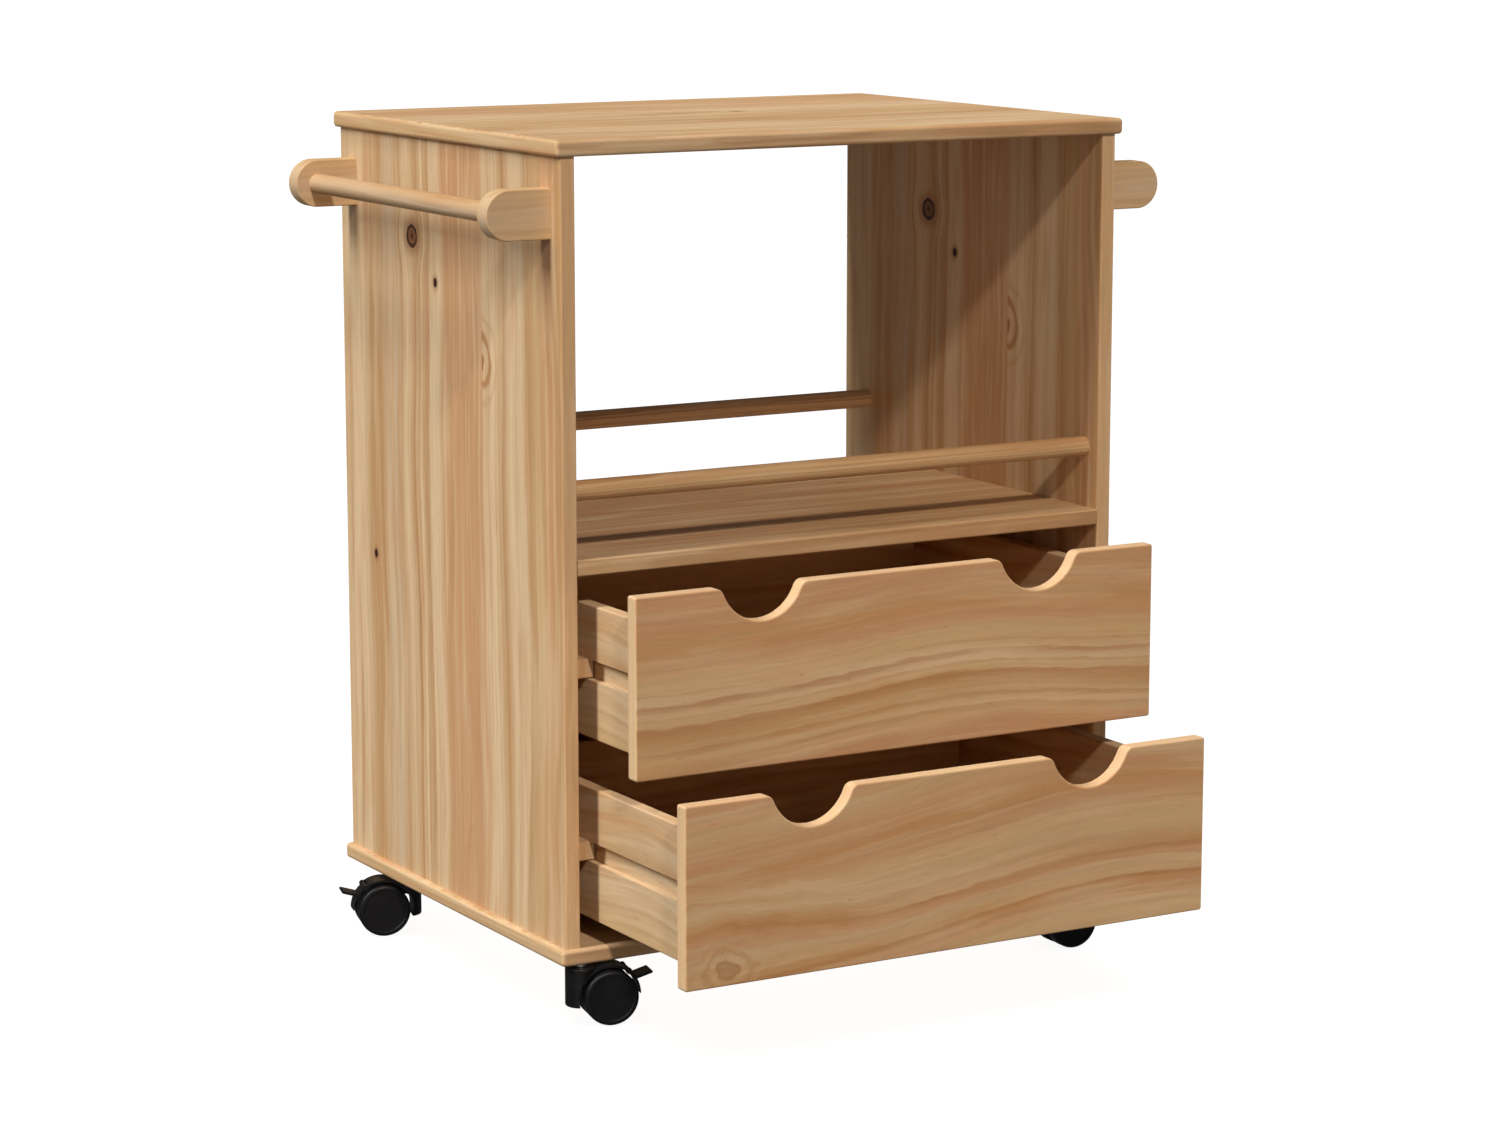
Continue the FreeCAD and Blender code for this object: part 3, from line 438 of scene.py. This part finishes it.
FRONT_LOWER = Board("x", "z", arch=(0.20, 0.045, 0.30), ring=0.010, hearts=((-0.30, 0.02),), lines=0.08,
                    wander=0.014, ripple=0.0019, seed=53.0, patches=0.45, rim=0.6,
                    bands=((-0.135, STRAW), (-0.112, STRAW), (-0.098, SALMON), (-0.088, ORANGE),
                           (-0.075, STRAW), (-0.064, SALMON), (-0.056, ORANGE), (-0.040, STRAW),
                           (-0.020, STRAW), (0.0, SALMON), (0.012, ORANGE), (0.030, SALMON),
                           (0.055, STRAW), (0.070, SALMON), (0.090, SALMON)),
                    streaks=((-0.086, 0.006, 0.50), (-0.057, 0.006, 0.45), (0.006, 0.005, 0.30)),
                    knots=((-0.246, -0.073, 0.044, 0.024, "arc"),))
DRAWER_SIDE = Board("y", "z", arch=(-0.10, 0.012, 0.10), ring=0.008, hearts=((-0.10, 0.02),), taper=0.06,
                    lines=0.35, seed=61.0, rim=0.35,
                    bands=((-0.065, STRAW), (-0.030, CREAM), (-0.010, CREAM), (0.0, TAN), (0.020, CREAM),
                           (0.035, ORANGE), (0.045, CREAM), (0.055, ORANGE), (0.065, STRAW)))
DRAWER_BACK = Board("x", "z", SMALL_BANDS, ring=0.006, lines=0.4, seed=67.0)
THIN_BANDS = ((-0.25, TAN), (-0.1, ORANGE), (0.0, TAN), (0.1, ORANGE), (0.25, TAN))
THIN = Board("x", "y", THIN_BANDS, ring=0.009, hearts=((0.1, 0.03),), taper=0.08, seed=71.0)
BACK = Board("x", "z", THIN_BANDS, ring=0.009, hearts=((0.1, 0.03),), taper=0.08, seed=73.0)
RUNNER = Board("y", "z", SMALL_BANDS, ring=0.004, lines=0.3, seed=79.0)
ROUND_X = Board("x", "z", ((-0.01, TAN), (0.0, STRAW), (0.01, TAN)), ring=0.003, hearts=((0.03, 0.02),),
                lines=0.8, taper=0.02, seed=83.0, patches=0.4, wander=0.004, ripple=0.0004,
                streaks=((-0.005, 0.0020, 0.45), (-0.001, 0.0015, 0.35), (0.004, 0.0020, 0.50)))
ROUND_BACK = Board("x", "z", ((-0.01, GREY), (0.0, PALE), (0.01, GREY)), ring=0.003, hearts=((0.03, 0.02),),
                   lines=0.8, taper=0.02, seed=85.0, patches=0.2, wander=0.004, ripple=0.0004,
                   streaks=((-0.004, 0.0020, 0.45), (0.003, 0.0020, 0.50)))
ROUND_Y = Board("y", "z", ((-0.01, TAN), (0.0, GREY), (0.01, TAN)), ring=0.006, hearts=((0.03, 0.02),),
                lines=0.3, seed=89.0, patches=0.15)
BRACKET = Board("x", "z", ((-0.024, STRAW), (0.0, GREY), (0.024, STRAW)), ring=0.007, hearts=((-0.05, 0.03),),
                lines=0.25, seed=97.0, patches=0.2)
PEG = Board("z", "x", ((-0.005, PALE), (0.0, PALE), (0.005, PALE)), ring=0.003, lines=0.3, seed=101.0)

# The board for the pieces whose names start so. Where one start begins another, the longer comes first.
BOARDS = {
    "side_panel": SIDE, "top_panel": TOP, "shelf_dowels": PEG, "shelf": SHELF, "base_panel": BASE,
    "back_panel": BACK, "rail_front": ROUND_X, "rail_back": ROUND_BACK,
    "runner_screws": None, "runner": RUNNER,
    "drawer_upper_front": FRONT_UPPER, "drawer_lower_front": FRONT_LOWER,
    "drawer_upper_side": DRAWER_SIDE, "drawer_lower_side": DRAWER_SIDE, "drawer_upper_back": DRAWER_BACK,
    "drawer_lower_back": DRAWER_BACK, "drawer_upper_bottom": THIN, "drawer_lower_bottom": THIN,
    "handle_left_bracket": BRACKET, "handle_right_bracket": BRACKET, "handle_left_bar": ROUND_Y,
    "handle_right_bar": ROUND_Y, "top_dowels": PEG, "handle_dowels": PEG,
    "drawer_upper_dowels": PEG, "drawer_lower_dowels": PEG,
}


# ---- Plastic and steel ------------------------------------------------------------------------------------
MOULD_GRAIN = 2600.0              # cycles per metre
MOULD_CLOUDS = 60.0
MOULD_RELIEF = 0.00004            # metres
TURNING_MARKS = 2200.0
TURNING_RELIEF = 0.00003
CASTER_BLACK = srgb(11, 11, 12)
WHEEL_BLACK = srgb(9, 9, 10)
STEEL_DARK = srgb(150, 150, 146)
STEEL_LIGHT = srgb(196, 196, 190)


def black_plastic(name, colour, roughness):
    """Moulded black plastic with a fine grain and slightly lighter clouds."""
    g = Graph(name)
    grain = g.noise(g.scaled(g.place, MOULD_GRAIN))
    cloud = g.noise(g.scaled(g.place, MOULD_CLOUDS), 3.0)
    lighter = tuple(1.7 * channel for channel in colour[:3]) + (1.0,)
    g.feed(g.shader.inputs["Base Color"], g.mix(g.ease(cloud, 0.3, 0.8), colour, lighter))
    g.feed(g.shader.inputs["Roughness"], g.ease(cloud, 0.2, 0.8, roughness - 0.05, roughness + 0.07))
    g.feed(g.shader.inputs["Normal"], g.bump(grain, MOULD_RELIEF, 0.5))
    g.shader.inputs["Specular IOR Level"].default_value = 0.25
    return g.material


def plated_steel(name):
    """Zinc-plated steel with fine turning marks."""
    g = Graph(name)
    x, y, z = g.parts(g.place)
    turned = g.noise(g.vector(g.mul(x, 60.0), g.mul(y, 60.0), g.mul(z, TURNING_MARKS)))
    g.feed(g.shader.inputs["Base Color"], g.ramp(turned, ((0.3, STEEL_DARK), (0.7, STEEL_LIGHT))))
    g.feed(g.shader.inputs["Roughness"], g.ease(turned, 0.3, 0.7, 0.28, 0.42))
    g.feed(g.shader.inputs["Normal"], g.bump(turned, TURNING_RELIEF, 0.4))
    g.shader.inputs["Metallic"].default_value = 1.0
    return g.material


# ---- Materials on the pieces ------------------------------------------------------------------------------
def board_of(node):
    """The board that a piece was cut from, or None where it isn't wood."""
    for start, board in BOARDS.items():
        if node.startswith(start):
            return board
    return None


def dress(node, material):
    """One material on all of a piece."""
    for holder in nodes[node].material_slots:
        holder.material = material


def paint_pieces():
    shared = {
        "caster_plastic": black_plastic("caster_plastic", CASTER_BLACK, 0.38),
        "wheel_plastic": black_plastic("wheel_plastic", WHEEL_BLACK, 0.42),
        "plated_steel": plated_steel("plated_steel"),
    }
    for node in sorted(nodes):
        board = board_of(node)
        if board:
            low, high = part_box(node)
            dress(node, pine("pine_" + node, board, (low + high) / 2))
        else:
            dress(node, shared[slot_of[node]])


# ---- Stage, lights and camera -----------------------------------------------------------------------------
STAGE_RADIUS = 14.0
STAGE_CORNER = 4.0                # radius of the curve from floor to backdrop
STAGE_HEIGHT = 9.0
STAGE_SIDES = 96
STAGE_STEPS = 12                  # flat strips in that curve
STAGE_GREY = (0.8, 0.8, 0.8, 1.0)
STAGE_GLOW = 0.93
WHITE = (1.0, 1.0, 1.0, 1.0)
FLOOR_LIGHT = 0.3
FLOOR_ANGLE = math.radians(70)
WARM = (1.0, 0.90, 0.83)
FRONT_LIGHT = (Vector((0.26, 1.0, -0.85)), 1.96)      # direction of travel and strength
FRONT_ANGLE = math.radians(4)
STRIP_LIGHT = 3.24                                    # a tall, narrow light at the left, as a row of suns
STRIP_RISES = (32, 41, 50, 59)
STRIP_ANGLE = math.radians(9)
FILL_LIGHT = (Vector((0.55, 0.85, 0.02)), 0.40)       # low, broad, and kept off what lies inside
FILL_ANGLE = math.radians(70)
# For the faces that look away from the camera.
REAR_LIGHTS = ((Vector((-1.0, 0.0, 0.10)), 1.6), (Vector((0.0, -1.0, 0.10)), 1.1))
REAR_ANGLE = math.radians(18)
INSIDE = {"back_panel"} | {"drawer_%s_%s" % (drawer, part) for drawer in ("upper", "lower")
                           for part in ("side_left", "side_right", "back", "bottom")}
AMBIENT = 0.10
LENS = 95.4
VIEW_YAW = math.radians(30.13)
VIEW_PITCH = math.radians(10.06)
VIEW_DISTANCE = 4.030
VIEW_AIM = Vector((-0.0195, 0.0072, -0.0219))         # the view's middle, from the middle of the cart


def stage_outline():
    """Half a section through the stage, from its middle outwards: (distance out, height)."""
    outline = [(0.0, 0.0)]
    for step in range(STAGE_STEPS + 1):
        turn = math.radians(90 * step / STAGE_STEPS)
        out = STAGE_RADIUS - STAGE_CORNER + STAGE_CORNER * math.sin(turn)
        outline.append((out, STAGE_CORNER - STAGE_CORNER * math.cos(turn)))
    outline.append((STAGE_RADIUS, STAGE_HEIGHT))
    return outline


def turned_mesh(name, outline):
    """An outline turned about the upright axis, starting from its middle point."""
    points = [(0.0, 0.0, outline[0][1])]
    for out, up in outline[1:]:
        for step in range(STAGE_SIDES):
            turn = 2 * math.pi * step / STAGE_SIDES
            points.append((out * math.cos(turn), out * math.sin(turn), up))
    faces = [(0, 1 + step, 1 + (step + 1) % STAGE_SIDES) for step in range(STAGE_SIDES)]
    for ring in range(len(outline) - 2):
        first = 1 + ring * STAGE_SIDES
        outer = first + STAGE_SIDES
        for step in range(STAGE_SIDES):
            after = (step + 1) % STAGE_SIDES
            faces.append((first + step, outer + step, outer + after, first + after))
    mesh = bpy.data.meshes.new(name)
    mesh.from_pydata(points, [], faces)
    for face in mesh.polygons:
        face.use_smooth = True
    return mesh


def stage_paint():
    """Plain pale paint that glows enough to read as a lit studio."""
    g = Graph("stage")
    g.shader.inputs["Base Color"].default_value = STAGE_GREY
    g.shader.inputs["Roughness"].default_value = 0.9
    g.shader.inputs["Specular IOR Level"].default_value = 0.0
    g.shader.inputs["Emission Color"].default_value = WHITE
    g.shader.inputs["Emission Strength"].default_value = STAGE_GLOW
    return g.material


def stage():
    """A pale floor that curves up into a round backdrop, lit apart from the cart."""
    mesh = turned_mesh("stage", stage_outline())
    mesh.materials.append(stage_paint())
    floor = bpy.data.objects.new("stage", mesh)
    bpy.context.scene.collection.objects.link(floor)
    floor.visible_diffuse = False
    floor.visible_glossy = False
    floor.visible_shadow = False
    return floor


def sun(name, travel, strength, angle, receivers, colour=(1.0, 1.0, 1.0)):
    """A distant light that shines one way, on the pieces of one collection."""
    data = bpy.data.lights.new(name, "SUN")
    data.energy = strength
    data.color = colour
    data.angle = angle
    light = bpy.data.objects.new(name, data)
    light.rotation_mode = "QUATERNION"
    light.rotation_quaternion = travel.to_track_quat("-Z", "Y")
    bpy.context.scene.collection.objects.link(light)
    light.light_linking.receiver_collection = receivers
    return light


def group(name, members):
    """A collection that only says which pieces a light reaches."""
    made = bpy.data.collections.new(name)
    for member in members:
        made.objects.link(member)
    return made


def light_the_scene(floor):
    """The cart's lights, and one of its own for the floor."""
    cart = group("cart", [nodes[node] for node in sorted(nodes)])
    ground = group("ground", [floor])
    sun("front_light", *FRONT_LIGHT, FRONT_ANGLE, cart, WARM)
    for rise in STRIP_RISES:
        travel = Vector((math.cos(math.radians(rise)), 0.0, -math.sin(math.radians(rise))))
        sun("strip_light_%d" % rise, travel, STRIP_LIGHT / len(STRIP_RISES), STRIP_ANGLE, cart)
    open_pieces = group("open_pieces", [nodes[node] for node in sorted(nodes) if node not in INSIDE])
    sun("fill_light", *FILL_LIGHT, FILL_ANGLE, open_pieces, WARM)
    for number, (travel, strength) in enumerate(REAR_LIGHTS):
        sun("rear_light_%d" % number, travel, strength, REAR_ANGLE, cart).visible_glossy = False
    sun("floor_light", Vector((0.0, 0.0, -1.0)), FLOOR_LIGHT, FLOOR_ANGLE, ground)


def soft_surround():
    """An even, faint light from all round."""
    world = bpy.data.worlds.new("studio")
    world.use_nodes = True
    background = world.node_tree.nodes["Background"]
    background.inputs["Color"].default_value = WHITE
    background.inputs["Strength"].default_value = AMBIENT
    bpy.context.scene.world = world


def camera():
    """A long lens at the cart's front left, looking slightly down."""
    low, high = CAD_BOX
    level = math.cos(VIEW_PITCH)
    forward = Vector((math.sin(VIEW_YAW) * level, math.cos(VIEW_YAW) * level, -math.sin(VIEW_PITCH)))
    data = bpy.data.cameras.new("camera")
    data.lens = LENS
    eye = bpy.data.objects.new("camera", data)
    eye.location = (low + high) / 2 + VIEW_AIM - forward * VIEW_DISTANCE
    eye.rotation_mode = "QUATERNION"
    eye.rotation_quaternion = forward.to_track_quat("-Z", "Y")
    bpy.context.scene.collection.objects.link(eye)
    bpy.context.scene.camera = eye


paint_pieces()
light_the_scene(stage())
soft_surround()
camera()
bpy.context.scene.view_settings.view_transform = "Standard"
